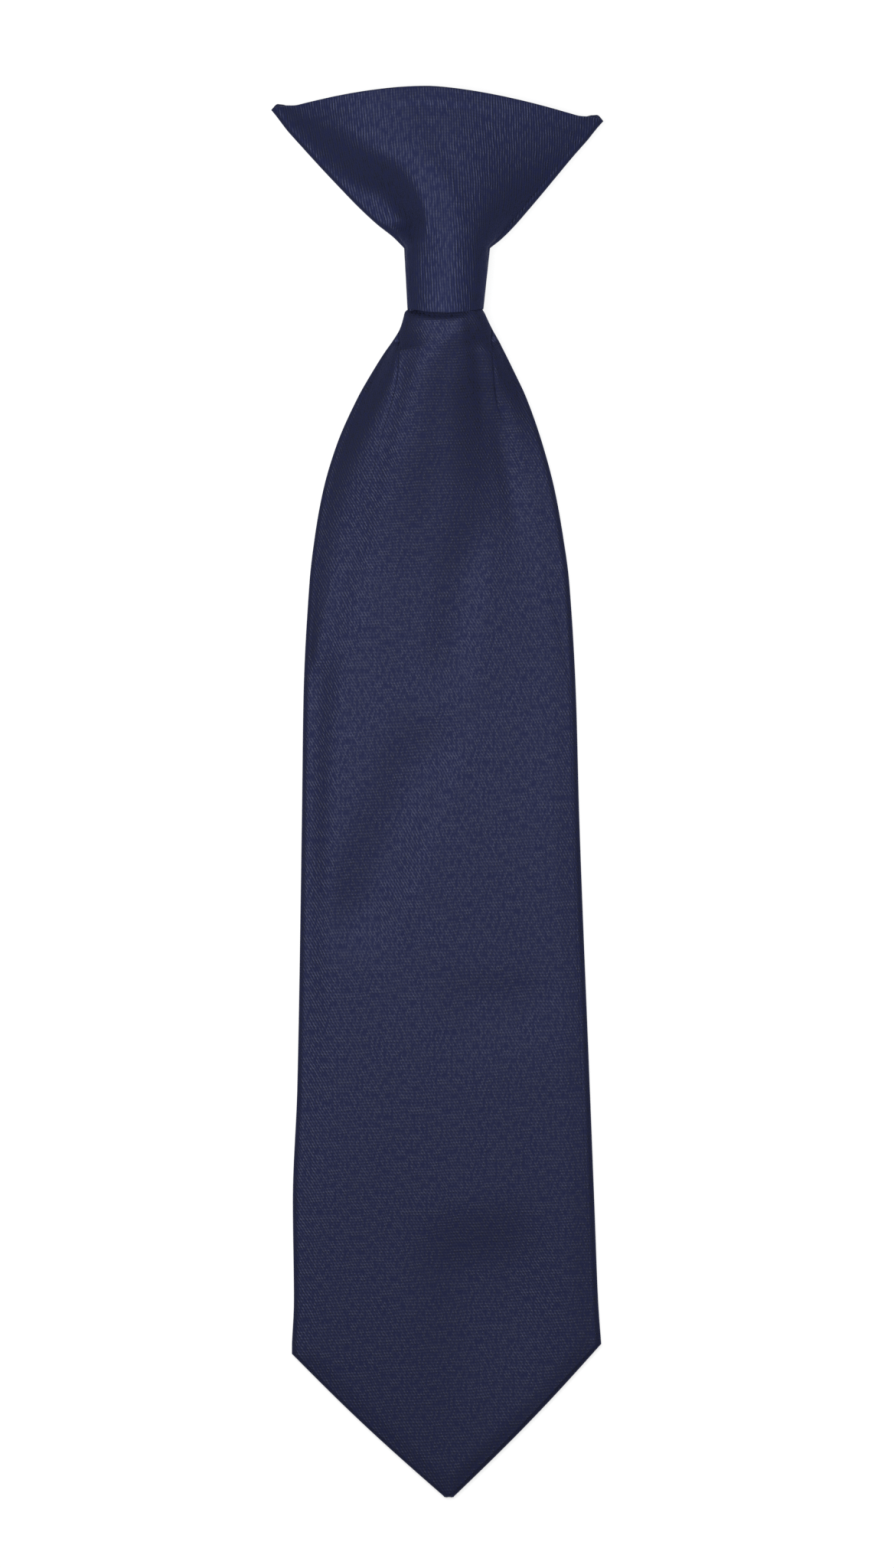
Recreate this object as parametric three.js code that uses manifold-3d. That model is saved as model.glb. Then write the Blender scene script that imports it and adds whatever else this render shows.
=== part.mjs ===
// A boy's clip-on necktie, lying face up on a table: a pointed blade of folded satin,
// a ready-made knot with spread wings, and the clip behind the knot that holds the collar.
// Millimetres. +Z is up, towards the tie's face; +Y runs from the tip to the wings.
// The origin is the middle of the clip's back, on the table.
import * as THREE from "three";
import { mergeVertices } from "three/addons/utils/BufferGeometryUtils.js";
import Module from "manifold-3d";

const wasm = await Module();
wasm.setup();

// Cloth
const CLOTH = 1.2; // a wall of satin with its interlining
const FOLD_GAP = 0.6; // air between the blade's face and its back
const SEAT_GAP = 0.3; // between pieces that touch

// Clip, of bright sheet metal
const CLIP_SHEET = 0.8;
const COLLAR_SLOT = 4.4; // between the arms and the plate, where the collar slides in
const ARM_REACH = 20; // from the middle to an arm's tip
const ARM_ROOT_HEIGHT = 12;
const ARM_TIP_HEIGHT = 8;
const PLATE_REACH = 15;
const PLATE_HEIGHT = 12;
const BOSS_RADIUS = 3.5;

// Knot: a tapered band whose top spreads into two wings
const WAIST_DROP = 19.3; // from the clip's middle down to the waist
const WAIST_SHIFT = 0.4; // the waist's middle lies right of the foot's
const BAND_HEIGHT = 15.4;
const BAND_TOP_WIDTH = 21.6;
const BAND_FOOT_WIDTH = 19.1;
const FOOT_BOW = 1.3; // how far the middle of the foot hangs below its ends
const KNOT_DEPTH = 12;
const BAND_ROUNDING = 4.6; // radius of the band's sides
const MOUTH_DEPTH = 8; // at the middle of the top edge
const LEFT_WING_REACH = 43.8;
const LEFT_WING_RISE = 34; // from the waist up to the wing's tip
const RIGHT_WING_REACH = 39.7;
const RIGHT_WING_RISE = 31.2;
const CROWN_RISE = 7.9; // of the top edge over the line between the tips
const CROWN_PLACE = 0.48; // share of the span, from the left tip
const CROWN_POWER = 1.6;
const EAR_RISE = 2; // of the turned-up corners
const EAR_WIDTH = 6.6;
const EAR_START = 1.85; // the row where the corners start to turn up

// Blade
const BLADE_LENGTH = 297.6; // from the band's foot to the tip
const BLADE_WIDTH = 78; // at the lower corners
const POINT_LENGTH = 38.7; // from the right corner to the tip
const LEFT_CORNER_DROP = 2.5; // the left corner hangs lower
const POINT_BULGE = 0.6; // of the point's edges
const TIP_WIDTH = 3.2;
const TIP_SHIFT = 0.9; // the tip lies right of the knot's middle
const NECK_TUCK = 11; // how far the blade reaches up into the band
const NECK_PLEAT = 0.3; // share of the band's width left on each side of the middle pleat
const GATHERED = 0.27; // share of the blade's length in which the gathers run out
const PLEAT_BLUR = 1.2; // half width of the step at the middle pleat's edges
const SEAM_GAP = 0.6; // between the flaps on the back
const WIDEST_SEAM = 0.8; // share of the width between the folds that the flaps may part
const HEM = 9; // of the flaps along the point
const FACING_LENGTH = 46; // where the flaps part, above the right corner

// The knot's rows, from the band's foot (up 0) by its waist (1) to the wing tips (2).
// bow: share of the crown's rise (or of the foot's bow, below 0) at the row's middle.
// depth: share of the knot's depth at the ridge. fold: 1 has the band's round sides, 0 a flat fold.
// ridge: place of the ridge, and crease: of the line where the left wing drops, as shares of the half
// width. shelf: share of the depth that the left wing keeps outside that line.
const KNOT_ROWS = [
  { up: 0, bow: -1, depth: 0.98, fold: 1, ridge: 0.2, crease: -1, shelf: 0 },
  { up: 0.5, bow: -0.5, depth: 1, fold: 1, ridge: 0.22, crease: -1, shelf: 0 },
  { up: 1, bow: 0.05, depth: 1, fold: 0.86, ridge: 0.2, crease: -0.95, shelf: 0 },
  { up: 1.08, bow: 0.1, depth: 1, fold: 0.45, ridge: 0.15, crease: -0.72, shelf: 0.03 },
  { up: 1.18, bow: 0.2, depth: 0.99, fold: 0.14, ridge: 0.1, crease: -0.51, shelf: 0.08 },
  { up: 1.3, bow: 0.3, depth: 0.97, fold: 0, ridge: 0.03, crease: -0.4, shelf: 0.1 },
  { up: 1.45, bow: 0.46, depth: 0.94, fold: 0, ridge: -0.06, crease: -0.42, shelf: 0.1 },
  { up: 1.6, bow: 0.6, depth: 0.9, fold: 0, ridge: -0.13, crease: -0.6, shelf: 0.08 },
  { up: 1.75, bow: 0.74, depth: 0.84, fold: 0, ridge: -0.17, crease: -0.8, shelf: 0.04 },
  { up: 1.9, bow: 0.9, depth: 0.75, fold: 0, ridge: -0.2, crease: -0.95, shelf: 0 },
  { up: 2, bow: 1, depth: MOUTH_DEPTH / KNOT_DEPTH, fold: 0, ridge: -0.22, crease: -0.98, shelf: 0 },
];

// How far the wings' lower edges have spread beyond the waist, as shares of each wing's reach past it.
const WING_ROWS = [
  { up: 1, left: 0, right: 0 },
  { up: 1.08, left: 0.079, right: 0.107 },
  { up: 1.18, left: 0.206, right: 0.215 },
  { up: 1.3, left: 0.338, right: 0.33 },
  { up: 1.45, left: 0.486, right: 0.469 },
  { up: 1.6, left: 0.63, right: 0.605 },
  { up: 1.75, left: 0.769, right: 0.742 },
  { up: 1.9, left: 0.907, right: 0.89 },
  { up: 2, left: 1, right: 1 },
];

// The blade's outline, from the band's foot (down 0) to the tip (1), as shares of half the blade's width.
// pleatLeft and pleatRight: the edges of the raised middle pleat.
const OUTLINE_ROWS = [
  { down: 0.0026, left: 0.262, right: 0.257, pleatLeft: 0.25, pleatRight: 0.25 },
  { down: 0.0123, left: 0.291, right: 0.299, pleatLeft: 0.28, pleatRight: 0.28 },
  { down: 0.0213, left: 0.336, right: 0.341, pleatLeft: 0.298, pleatRight: 0.292 },
  { down: 0.0311, left: 0.39, right: 0.38, pleatLeft: 0.301, pleatRight: 0.301 },
  { down: 0.0505, left: 0.484, right: 0.454, pleatLeft: 0.304, pleatRight: 0.311 },
  { down: 0.0699, left: 0.568, right: 0.523, pleatLeft: 0.321, pleatRight: 0.318 },
  { down: 0.1087, left: 0.701, right: 0.627, pleatLeft: 0.355, pleatRight: 0.311 },
  { down: 0.1475, left: 0.79, right: 0.706, pleatLeft: 0.39, pleatRight: 0.3 },
  { down: 0.1863, left: 0.844, right: 0.76, pleatLeft: 0.42, pleatRight: 0.3 },
  { down: 0.2251, left: 0.879, right: 0.8, pleatLeft: 0.44, pleatRight: 0.3 },
  { down: 0.3222, left: 0.918, right: 0.844, pleatLeft: 0.46, pleatRight: 0.3 },
  { down: 0.4193, left: 0.928, right: 0.864, pleatLeft: 0.46, pleatRight: 0.3 },
  { down: 0.6522, left: 0.958, right: 0.933, pleatLeft: 0.46, pleatRight: 0.3 },
  { down: 0.7492, left: 0.987, right: 0.962, pleatLeft: 0.46, pleatRight: 0.3 },
  { down: 0.8333, left: 0.98, right: 0.987, pleatLeft: 0.46, pleatRight: 0.3 },
  { down: 0.8702, left: 0.993, right: 1.007, pleatLeft: 0.46, pleatRight: 0.3 },
];

// The blade's relief in the same rows. back: share of the height at which the neck leaves the band.
// rise: share of the neck's depth that the ridge stands above the sides. ridge: its place, as a share of the
// half width. step: share of the neck's depth that the middle pleat stands above the cloth beside it.
// fold: 1 has the neck's round sides, 0 a flat fold.
const RELIEF_ROWS = [
  { down: 0.0026, back: 0.98, rise: 0.47, ridge: -0.05, step: 0.03, fold: 0.6 },
  { down: 0.0123, back: 0.88, rise: 0.54, ridge: -0.1, step: 0.1, fold: 0.25 },
  { down: 0.0213, back: 0.78, rise: 0.51, ridge: -0.15, step: 0.17, fold: 0.1 },
  { down: 0.0311, back: 0.68, rise: 0.47, ridge: -0.2, step: 0.19, fold: 0.04 },
  { down: 0.0505, back: 0.5, rise: 0.43, ridge: -0.25, step: 0.17, fold: 0 },
  { down: 0.0699, back: 0.35, rise: 0.4, ridge: -0.25, step: 0.12, fold: 0 },
  { down: 0.1087, back: 0.15, rise: 0.32, ridge: -0.21, step: 0.05, fold: 0 },
  { down: 0.1475, back: 0.05, rise: 0.24, ridge: -0.22, step: 0, fold: 0 },
  { down: 0.1863, back: 0.01, rise: 0.14, ridge: -0.26, step: 0, fold: 0 },
  { down: 0.2251, back: 0, rise: 0.09, ridge: -0.38, step: 0, fold: 0 },
  { down: 0.3222, back: 0, rise: 0.06, ridge: -0.6, step: 0, fold: 0 },
  { down: 0.4193, back: 0, rise: 0.04, ridge: -0.8, step: 0, fold: 0 },
  { down: 0.6522, back: 0, rise: 0.02, ridge: -0.6, step: 0, fold: 0 },
  { down: 0.7492, back: 0, rise: 0.02, ridge: -0.3, step: 0, fold: 0 },
  { down: 0.8333, back: 0, rise: 0.015, ridge: 0, step: 0, fold: 0 },
  { down: 0.8702, back: 0, rise: 0.01, ridge: 0, step: 0, fold: 0 },
];

// How many points a section has, where the knot's sections lie, and how far apart the blade's are
const KNOT_FRONT_STEPS = [4, 12, 14]; // from the left fold to the crease, the ridge and the right fold
const BLADE_FRONT_STEPS = [4, 2, 6, 2, 4]; // from fold to fold; the pleat's edges are in the short stretches
const FOLD_STEPS = 4;
const BACK_STEPS = 2;
const PROBE = 0.1; // how far on each side a slope is measured
const LEAST_STEP = 0.3; // between the points of a section where its parts run out
const KNOT_UPS = [0, 0.2, 0.5, 0.8, 1, 1.05, 1.1, 1.16, 1.23, 1.31, 1.4, 1.5, 1.6, 1.7, 1.8, 1.9, 1.96, 2];
const NECK_ROW_STEP = 5.5;
const PLEAT_ROW_STEP = 4.2;
const LONG_ROW_STEP = 18;
const POINT_ROW_STEP = 6;
const ARC_STEPS = 10;

// Places that follow from the sizes
const plateZ = CLIP_SHEET + COLLAR_SLOT;
const knotBackZ = plateZ + CLIP_SHEET + SEAT_GAP;
const neckBackZ = knotBackZ + CLOTH + SEAT_GAP;
const neckDepth = KNOT_DEPTH - 2 * (CLOTH + SEAT_GAP);
const neckRounding = BAND_ROUNDING - CLOTH - SEAT_GAP;
const flatFold = CLOTH + FOLD_GAP / 2; // radius of a fold pressed flat
const waistY = -WAIST_DROP;
const footY = waistY - BAND_HEIGHT;
const bladeTopY = footY - FOOT_BOW;
const tipY = bladeTopY - BLADE_LENGTH;
const rightCornerY = tipY + POINT_LENGTH;
const leftCornerY = rightCornerY - LEFT_CORNER_DROP;

const lerp = THREE.MathUtils.lerp;
const clamp = THREE.MathUtils.clamp;
const smooth = (t) => THREE.MathUtils.smoothstep(t, 0, 1);
const bell = (t) => (1 + Math.cos(Math.PI * clamp(t, 0, 1))) / 2;

// The row of a table at a place along it. Each column eases from row to row without overshoot.
function rowAt(table, key, place) {
  const last = table.length - 1;
  const at = clamp(place, table[0][key], table[last][key]);
  const next = Math.max(1, table.findIndex((row) => row[key] >= at));
  const span = table[next][key] - table[next - 1][key];
  const t = (at - table[next - 1][key]) / span;
  const step = (i, column) => table[i][column] - table[i - 1][column];
  const rate = (i, column) => step(i, column) / step(i, key);
  const tangent = (i, column) => {
    const before = rate(Math.max(i, 1), column);
    const after = rate(Math.min(i + 1, last), column);
    return before * after <= 0 ? 0 : (2 * before * after) / (before + after);
  };
  const row = {};
  for (const column of Object.keys(table[next])) {
    const ends = lerp(table[next - 1][column], table[next][column], smooth(t));
    const pull = tangent(next - 1, column) * t * (1 - t) ** 2 - tangent(next, column) * t * t * (1 - t);
    row[column] = ends + pull * span;
  }
  return row;
}

function slopeOf(height, x) {
  return (height(x + PROBE) - height(x - PROBE)) / (2 * PROBE);
}

// Places across a section's front: each stretch between two cuts is divided into its own number of steps.
function frontPlaces(cuts, steps) {
  const last = cuts.length - 1;
  const kept = cuts.map((x, i) => clamp(x, cuts[0] + i * LEAST_STEP, cuts[last] - (last - i) * LEAST_STEP));
  const inside = steps.flatMap((count, n) =>
    Array.from({ length: count }, (_, i) => lerp(kept[n], kept[n + 1], i / count)),
  );
  return [...inside, kept[last]];
}

// Evenly spaced places from one end to the other, both included.
function spaced(from, to, step) {
  const count = Math.max(1, Math.round(Math.abs(to - from) / step));
  return Array.from({ length: count + 1 }, (_, i) => lerp(from, to, i / count));
}

// A section of cloth folded at both sides, as paired points of its outer and inner face. It starts in the
// middle of the back, goes round the left fold, over the front and round the right fold, and ends where it
// began. fold is the radius of its sides, front(x) the height of its face at the places across it, and seam
// half the gap left in the back. place(x, z) turns a point of the section into one in space.
function foldedSection({ fold, backZ, front, places, seam, place }) {
  const a = places.at(0);
  const b = places.at(-1);
  const middle = (a + b) / 2;
  const halfSeam = Math.min(seam, (WIDEST_SEAM * (b - a)) / 2);
  const points = [];
  const add = (x, z, innerX, innerZ) => points.push({ outer: place(x, z), inner: place(innerX, innerZ) });
  const backTo = (from, to) => {
    for (let i = 0; i <= BACK_STEPS; i++) {
      const x = lerp(from, to, i / BACK_STEPS);
      add(x, backZ, x, backZ + CLOTH);
    }
  };
  const roundFold = (x, side) => {
    for (let i = 1; i < FOLD_STEPS; i++) {
      const turn = Math.PI * (i / FOLD_STEPS - 0.5);
      const outward = side * Math.cos(turn);
      const upward = -side * Math.sin(turn);
      const z = backZ + fold;
      const inner = fold - CLOTH;
      add(x + fold * outward, z + fold * upward, x + inner * outward, z + inner * upward);
    }
  };
  backTo(middle - halfSeam, a);
  roundFold(a, -1);
  for (const x of places) {
    const atFold = x === a || x === b;
    const wall = atFold ? CLOTH : CLOTH * Math.hypot(1, slopeOf(front, x));
    add(x, front(x), x, Math.max(front(x) - wall, backZ + CLOTH + FOLD_GAP));
  }
  roundFold(b, 1);
  backTo(b, middle + halfSeam);
  return points;
}

// A closed wall through rows of sections: open sections leave a slit, and closed ones make a tube.
function wallThrough(rows, closed) {
  const count = rows[0].length;
  const positions = rows.flatMap((row) => row.flatMap(({ outer, inner }) => [...outer, ...inner]));
  const outerAt = (j, i) => 2 * (j * count + (i % count));
  const innerAt = (j, i) => outerAt(j, i) + 1;
  const index = [];
  const quad = (a, b, c, d) => index.push(a, b, c, a, c, d);
  const steps = closed ? count : count - 1;
  const last = rows.length - 1;
  for (let j = 0; j < last; j++) {
    for (let i = 0; i < steps; i++) {
      quad(outerAt(j, i), outerAt(j, i + 1), outerAt(j + 1, i + 1), outerAt(j + 1, i));
      quad(innerAt(j, i), innerAt(j + 1, i), innerAt(j + 1, i + 1), innerAt(j, i + 1));
    }
    if (!closed) {
      quad(innerAt(j, 0), outerAt(j, 0), outerAt(j + 1, 0), innerAt(j + 1, 0));
      const end = count - 1;
      quad(outerAt(j, end), innerAt(j, end), innerAt(j + 1, end), outerAt(j + 1, end));
    }
  }
  for (let i = 0; i < steps; i++) {
    quad(outerAt(0, i), innerAt(0, i), innerAt(0, i + 1), outerAt(0, i + 1));
    quad(innerAt(last, i), outerAt(last, i), outerAt(last, i + 1), innerAt(last, i + 1));
  }
  const geometry = new THREE.BufferGeometry();
  geometry.setAttribute("position", new THREE.Float32BufferAttribute(positions, 3));
  geometry.setIndex(index);
  return geometry;
}

// Where a row of the knot ends on one side. up is 0 at the foot, 1 at the waist and 2 at the wing's tip.
function knotEdge(up, side) {
  const waistX = WAIST_SHIFT + (side * BAND_TOP_WIDTH) / 2;
  if (up <= 1) return { x: lerp((side * BAND_FOOT_WIDTH) / 2, waistX, up), y: footY + up * BAND_HEIGHT };
  const reach = side < 0 ? LEFT_WING_REACH : RIGHT_WING_REACH;
  const rise = side < 0 ? LEFT_WING_RISE : RIGHT_WING_RISE;
  const spread = rowAt(WING_ROWS, "up", up)[side < 0 ? "left" : "right"];
  return { x: lerp(waistX, side * reach, spread), y: waistY + rise * (up - 1) };
}

// The share of the top edge's rise over the line between its ends, by the share of the way across.
function crown(across) {
  const away = across < CROWN_PLACE ? CROWN_PLACE : 1 - CROWN_PLACE;
  return 1 - (Math.abs(across - CROWN_PLACE) / away) ** CROWN_POWER;
}

// The ends, folds and front of the knot's cloth in one of its rows.
function knotProfile(up) {
  const row = rowAt(KNOT_ROWS, "up", up);
  const left = knotEdge(up, -1);
  const right = knotEdge(up, 1);
  const halfWidth = (right.x - left.x) / 2;
  const middle = (left.x + right.x) / 2;
  const fold = lerp(flatFold, BAND_ROUNDING, row.fold);
  const ridge = middle + row.ridge * halfWidth;
  const leftEnd = left.x + fold;
  const rightEnd = right.x - fold;
  const crease = Math.max(leftEnd, middle + row.crease * halfWidth);
  const shelf = row.shelf * KNOT_DEPTH;
  const hill = row.depth * KNOT_DEPTH - 2 * fold;
  const front = (x) => {
    const onRight = hill * bell((x - ridge) / (rightEnd - ridge));
    const onLeft = shelf + (hill - shelf) * bell((ridge - x) / (ridge - crease));
    const outside = shelf * smooth((x - leftEnd) / Math.max(crease - leftEnd, CLOTH));
    const above = x > ridge ? onRight : x > crease ? onLeft : outside;
    return knotBackZ + 2 * fold + above;
  };
  return { row, left, right, fold, front, cuts: [leftEnd, crease, ridge, rightEnd] };
}

function knotSection(up) {
  const { row, left, right, fold, front, cuts } = knotProfile(up);
  const width = right.x - left.x;
  const bow = row.bow < 0 ? FOOT_BOW : CROWN_RISE;
  const ear = EAR_RISE * smooth((up - EAR_START) / (2 - EAR_START));
  const place = (x, z) => {
    const across = clamp((x - left.x) / width, 0, 1);
    const toEdge = Math.min(x - left.x, right.x - x) / EAR_WIDTH;
    const curve = row.bow < 0 ? 1 - (2 * across - 1) ** 2 : crown(across);
    const y = lerp(left.y, right.y, across) + row.bow * bow * curve + ear * bell(toEdge);
    return new THREE.Vector3(x, y, z);
  };
  const places = frontPlaces(cuts, KNOT_FRONT_STEPS);
  return foldedSection({ fold, backZ: knotBackZ, front, places, seam: 0, place });
}

// The knot's cover: a tapered tube whose top spreads into wings, open at its foot and at its top.
function knotCover() {
  const rows = KNOT_UPS.map((up) => knotSection(up).slice(0, -1));
  return wallThrough(rows, true);
}

// How far down the blade a height lies, as a share of its length.
function downAt(y) {
  return (bladeTopY - y) / BLADE_LENGTH;
}

// Where the blade's edge is at a height, on one side.
function bladeEdge(y, side) {
  const cornerY = side < 0 ? leftCornerY : rightCornerY;
  const column = side < 0 ? "left" : "right";
  const share = (at) => rowAt(OUTLINE_ROWS, "down", downAt(at))[column];
  if (y >= cornerY) return (side * share(y) * BLADE_WIDTH) / 2;
  const corner = (side * share(cornerY) * BLADE_WIDTH) / 2;
  const tip = TIP_SHIFT + (side * TIP_WIDTH) / 2;
  const t = (cornerY - y) / (cornerY - tipY);
  return lerp(corner, tip, t) + side * POINT_BULGE * Math.sin(Math.PI * t);
}

// The neck's section follows the inside of the band, with a gap all round.
function neckProfile(y) {
  const band = knotProfile(clamp((y - footY) / BAND_HEIGHT, 0, 1));
  const offset = CLOTH + SEAT_GAP;
  return {
    left: band.left.x + offset,
    right: band.right.x - offset,
    fold: band.fold - offset,
    backZ: neckBackZ,
    front: (x) => band.front(x) - offset * Math.hypot(1, slopeOf(band.front, x)),
    pleats: [lerp(band.left.x, band.right.x, NECK_PLEAT), lerp(band.right.x, band.left.x, NECK_PLEAT)],
  };
}

// The blade's section below the band: a ridge that drifts to the left, and on it the raised middle pleat.
function openProfile(y) {
  const row = rowAt(RELIEF_ROWS, "down", downAt(y));
  const outline = rowAt(OUTLINE_ROWS, "down", downAt(y));
  const left = bladeEdge(y, -1);
  const right = bladeEdge(y, 1);
  const fold = lerp(flatFold, neckRounding, row.fold);
  const backZ = row.back * neckBackZ;
  const ridge = (left + right) / 2 + (row.ridge * (right - left)) / 2;
  const pleats = [(-outline.pleatLeft * BLADE_WIDTH) / 2, (outline.pleatRight * BLADE_WIDTH) / 2];
  const front = (x) => {
    const side = x < ridge ? left + fold : right - fold;
    const onPleat =
      smooth((x - pleats[0] + PLEAT_BLUR) / (2 * PLEAT_BLUR)) *
      smooth((pleats[1] + PLEAT_BLUR - x) / (2 * PLEAT_BLUR));
    const above = row.rise * bell((x - ridge) / (side - ridge)) + row.step * onPleat;
    return backZ + 2 * fold + neckDepth * above;
  };
  return { left, right, fold, backZ, front, pleats };
}

function bladeSection(y) {
  const { left, right, fold, backZ, front, pleats } = y < bladeTopY ? openProfile(y) : neckProfile(y);
  const parted = clamp((rightCornerY + FACING_LENGTH - y) / FACING_LENGTH, 0, 1);
  const facing = Math.min(parted * (BLADE_WIDTH / 2), (right - left) / 2 - HEM);
  const seam = Math.max(SEAM_GAP / 2, facing);
  const edges = pleats.flatMap((x) => [x - PLEAT_BLUR, x + PLEAT_BLUR]);
  const places = frontPlaces([left + fold, ...edges, right - fold], BLADE_FRONT_STEPS);
  const place = (x, z) => new THREE.Vector3(x, y, z);
  return foldedSection({ fold, backZ, front, places, seam, place });
}

// The blade: one cloth folded round to the back, where its flaps meet along the middle and part at the point.
function blade() {
  const emergeY = bladeTopY - SEAT_GAP - OUTLINE_ROWS[0].down * BLADE_LENGTH;
  const flatY = bladeTopY - GATHERED * BLADE_LENGTH;
  const facingY = rightCornerY + FACING_LENGTH;
  const heights = [
    ...spaced(footY + NECK_TUCK, bladeTopY, NECK_ROW_STEP),
    ...spaced(emergeY, flatY, PLEAT_ROW_STEP),
    ...spaced(flatY, facingY, LONG_ROW_STEP).slice(1),
    ...spaced(facingY, rightCornerY, LONG_ROW_STEP).slice(1),
    leftCornerY,
    ...spaced(leftCornerY, tipY, POINT_ROW_STEP).slice(1),
  ];
  return wallThrough(heights.map(bladeSection).reverse(), false);
}

// A closed solid from a three.js geometry.
function solidOf(geometry) {
  const bare = geometry.clone();
  bare.deleteAttribute("normal");
  bare.deleteAttribute("uv");
  const merged = mergeVertices(bare, 1e-4);
  return new wasm.Manifold(
    new wasm.Mesh({
      numProp: 3,
      vertProperties: merged.attributes.position.array,
      triVerts: new Uint32Array(merged.index.array),
    }),
  );
}

function geometryOf(solid) {
  const mesh = solid.getMesh();
  const geometry = new THREE.BufferGeometry();
  geometry.setAttribute("position", new THREE.BufferAttribute(mesh.vertProperties, 3));
  geometry.setIndex(new THREE.BufferAttribute(mesh.triVerts, 1));
  return geometry;
}

// A flat bar with round ends, tapering from its middle to its ends, seen from above.
function barOutline(reach, rootHeight, tipHeight) {
  const tip = tipHeight / 2;
  const x = reach - tip;
  const shape = new THREE.Shape();
  shape.moveTo(0, -rootHeight / 2);
  shape.lineTo(x, -tip);
  shape.absarc(x, 0, tip, -Math.PI / 2, Math.PI / 2, false);
  shape.lineTo(0, rootHeight / 2);
  shape.lineTo(-x, tip);
  shape.absarc(-x, 0, tip, Math.PI / 2, (3 * Math.PI) / 2, false);
  shape.closePath();
  return shape;
}

function sheetBar(outline, z) {
  const bar = new THREE.ExtrudeGeometry(outline, {
    depth: CLIP_SHEET,
    bevelEnabled: false,
    curveSegments: ARC_STEPS,
  });
  return solidOf(bar.translate(0, 0, z));
}

// The collar clip: two arms behind a plate, joined by a boss in the middle, as one piece.
function collarClip() {
  const arms = sheetBar(barOutline(ARM_REACH, ARM_ROOT_HEIGHT, ARM_TIP_HEIGHT), 0);
  const plate = sheetBar(barOutline(PLATE_REACH, PLATE_HEIGHT, PLATE_HEIGHT), plateZ);
  const bite = CLIP_SHEET / 2; // how far the boss reaches into each sheet
  const boss = new THREE.CylinderGeometry(BOSS_RADIUS, BOSS_RADIUS, COLLAR_SLOT + 2 * bite, 2 * ARC_STEPS);
  boss.rotateX(Math.PI / 2).translate(0, 0, CLIP_SHEET + COLLAR_SLOT / 2);
  return geometryOf(arms.add(plate).add(solidOf(boss)));
}

function finish(name, color, roughness, metalness) {
  return new THREE.MeshStandardMaterial({ name, color, roughness, metalness });
}

const satin = finish("navy_satin", 0x2b2f49, 0.55, 0);
const steel = finish("clip_steel", 0xc9cacc, 0.3, 1);

function piece(name, geometry, material) {
  const mesh = new THREE.Mesh(geometry, material);
  mesh.name = name;
  return mesh;
}

const tie = new THREE.Group();
tie.name = "clip_on_tie";
tie.add(piece("blade", blade(), satin));
tie.add(piece("knot_cover", knotCover(), satin));
tie.add(piece("collar_clip", collarClip(), steel));

export default tie;
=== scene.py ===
"""A boy's navy satin clip-on tie, lying face up on a pale table and seen from straight above.

Two detailed cloths, the blade and the knot's cover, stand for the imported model's plain solids, and its clip
is kept. Lengths are in millimetres, and become metres where a mesh, a light or the camera is made.
"""
import math

import bpy
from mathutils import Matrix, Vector, noise


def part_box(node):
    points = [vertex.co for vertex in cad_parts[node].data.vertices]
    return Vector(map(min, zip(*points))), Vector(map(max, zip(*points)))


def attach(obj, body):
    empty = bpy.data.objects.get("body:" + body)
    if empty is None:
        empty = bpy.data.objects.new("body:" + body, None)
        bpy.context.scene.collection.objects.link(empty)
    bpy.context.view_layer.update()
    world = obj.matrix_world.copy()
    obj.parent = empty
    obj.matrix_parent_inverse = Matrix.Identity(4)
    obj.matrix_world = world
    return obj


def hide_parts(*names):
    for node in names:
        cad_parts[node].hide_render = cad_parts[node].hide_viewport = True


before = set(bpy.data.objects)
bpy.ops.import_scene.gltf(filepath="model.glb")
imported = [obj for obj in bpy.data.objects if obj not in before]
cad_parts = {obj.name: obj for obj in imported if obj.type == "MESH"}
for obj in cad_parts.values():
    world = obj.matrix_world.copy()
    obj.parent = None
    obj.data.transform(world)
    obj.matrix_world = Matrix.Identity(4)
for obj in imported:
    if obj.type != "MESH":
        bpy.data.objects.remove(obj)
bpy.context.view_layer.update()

MM = 0.001


def box_of(node):
    return [[value / MM for value in corner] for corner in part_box(node)]


knot_low, knot_high = box_of("knot_cover")
blade_low, blade_high = box_of("blade")

# Photograph: how its pixels lie over the tie
PHOTO_WIDTH = 1168
PHOTO_HEIGHT = 2048
PHOTO_SCALE = 0.1925  # millimetres to a pixel
ORIGIN_PIXEL = (582, 225)  # over the clip's middle

# Cloth
BLADE_CLOTH = 0.6  # the cloths' thickness
KNOT_CLOTH = 1.0
FLAT_FOLD = 1.5  # radius of a pressed fold
WIDEST_FOLD = 0.45  # share of the section's width
EDGE_ROUNDING = 0.22  # of a cut or hemmed edge
SHARP_EDGE = 65.0  # degrees from which an edge is rounded
ROUNDING_STEPS = 2
TURN = 0.7  # radius of the flaps' turned-in edges
TURN_DEPTH = 4.0
WIDEST_TURN = 0.48  # share of the fold's radius
WIDEST_PARTING = 0.36  # of the flaps, each way from the middle, as a share of the width between the folds
RIPPLE = 0.22  # height of the faint ripples
KNOT_RIPPLES = (14.0, 22.0, 3.0)  # their length across and along, and where in the noise they are taken
BLADE_RIPPLES = (22.0, 38.0, 0.0)

# Knot
BAND_HEIGHT = 15.4
BAND_TOP_WIDTH = 21.6
BAND_FOOT_WIDTH = 19.1
BAND_ROUNDING = 5.2
WAIST_SHIFT = 0.4
FOOT_BOW = 1.3
LEFT_WING_RISE = 34.0
RIGHT_WING_RISE = 31.2
CROWN_RISE = 7.4
CROWN_PLACE = 0.48
CROWN_POWER = 1.6
EAR_RISE = 1.9
EAR_WIDTH = 6.6
EAR_START = 1.85
EAR_TIP = 1.3  # from the end to the corner's highest point
EAR_DROP = 0.45
EAR_GAPE = 1.0  # how far the front layer's corner hangs below the back layer's
KNOT_HEM = 4.1  # depth of the hem under the top edge
HEM_STEP = 0.18  # how far the hem stands out
HEM_BLUR = 0.5
RIPPLE_START = 12.0  # distance from the foot and the top edge in which the ripples grow to their full height
COLUMN_POWER = 2.3  # of the band's curve from its side to its ridge
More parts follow.
